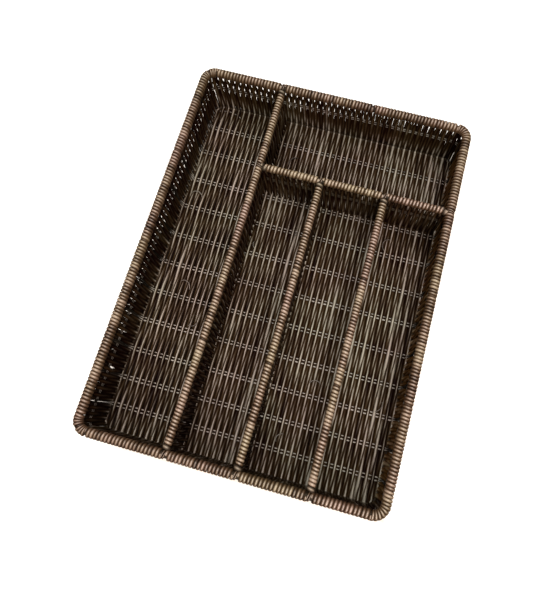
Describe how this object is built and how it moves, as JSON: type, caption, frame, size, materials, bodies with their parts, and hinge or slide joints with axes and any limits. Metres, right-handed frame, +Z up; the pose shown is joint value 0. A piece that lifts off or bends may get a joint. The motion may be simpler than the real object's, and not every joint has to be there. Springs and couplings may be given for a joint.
{
  "type": "woven cutlery tray",
  "caption": "Shallow rectangular woven rattan tray with wrapped rim and dividers: a long side compartment, a wide back one and long ones side by side for cutlery.",
  "frame": {"origin": "centre of the underside, on the surface that the tray rests on", "axes": "+X to the right across the short side, +Y to the back along the long side, towards the wide back compartment, +Z up"},
  "size_m": [0.267, 0.36, 0.0625],
  "materials": {
    "wrap_strand": "lacquered rattan core, tan brown, semi-gloss",
    "lashing_strand": "lacquered rattan core, mid brown, semi-gloss",
    "stake_strand": "dark stained rattan core, satin",
    "cross_strand": "dark stained rattan core, satin, greyish highlights",
    "frame_rod": "stained rattan cane, matt, hidden inside the wraps"
  },
  "bodies": {
    "root": {"rim_rod": "frame_rod", "rim_wrap_left": "wrap_strand", "rim_wrap_right": "wrap_strand", "rim_wrap_front": "wrap_strand", "rim_wrap_back": "wrap_strand", "rim_corner_wrap_back_right": "wrap_strand", "rim_corner_wrap_back_left": "wrap_strand", "rim_corner_wrap_front_left": "wrap_strand", "rim_corner_wrap_front_right": "wrap_strand", "base_rod": "frame_rod", "floor_weave": "stake_strand", "floor_cross_strands": "cross_strand", "wall_weave_left": "stake_strand", "wall_weave_right": "stake_strand", "wall_weave_front": "stake_strand", "wall_weave_back": "stake_strand", "corner_stakes_back_right": "stake_strand", "corner_stakes_back_left": "stake_strand", "corner_stakes_front_left": "stake_strand", "corner_stakes_front_right": "stake_strand", "wall_band_upper": "cross_strand", "wall_band_lower": "cross_strand", "main_divider_rod": "frame_rod", "main_divider_wrap": "wrap_strand", "main_divider_weave": "stake_strand", "main_divider_bands": "cross_strand", "main_lashing_front": "lashing_strand", "main_lashing_back": "lashing_strand", "cross_divider_rod": "frame_rod", "cross_divider_wrap": "wrap_strand", "cross_divider_weave": "stake_strand", "cross_divider_bands": "cross_strand", "cross_lashing_left": "lashing_strand", "cross_lashing_right": "lashing_strand", "left_short_divider_rod": "frame_rod", "left_short_divider_wrap": "wrap_strand", "left_short_divider_weave": "stake_strand", "left_short_divider_bands": "cross_strand", "left_short_lashing_front": "lashing_strand", "left_short_lashing_back": "lashing_strand", "right_short_divider_rod": "frame_rod", "right_short_divider_wrap": "wrap_strand", "right_short_divider_weave": "stake_strand", "right_short_divider_bands": "cross_strand", "right_short_lashing_front": "lashing_strand", "right_short_lashing_back": "lashing_strand"}
  },
  "joints": []
}
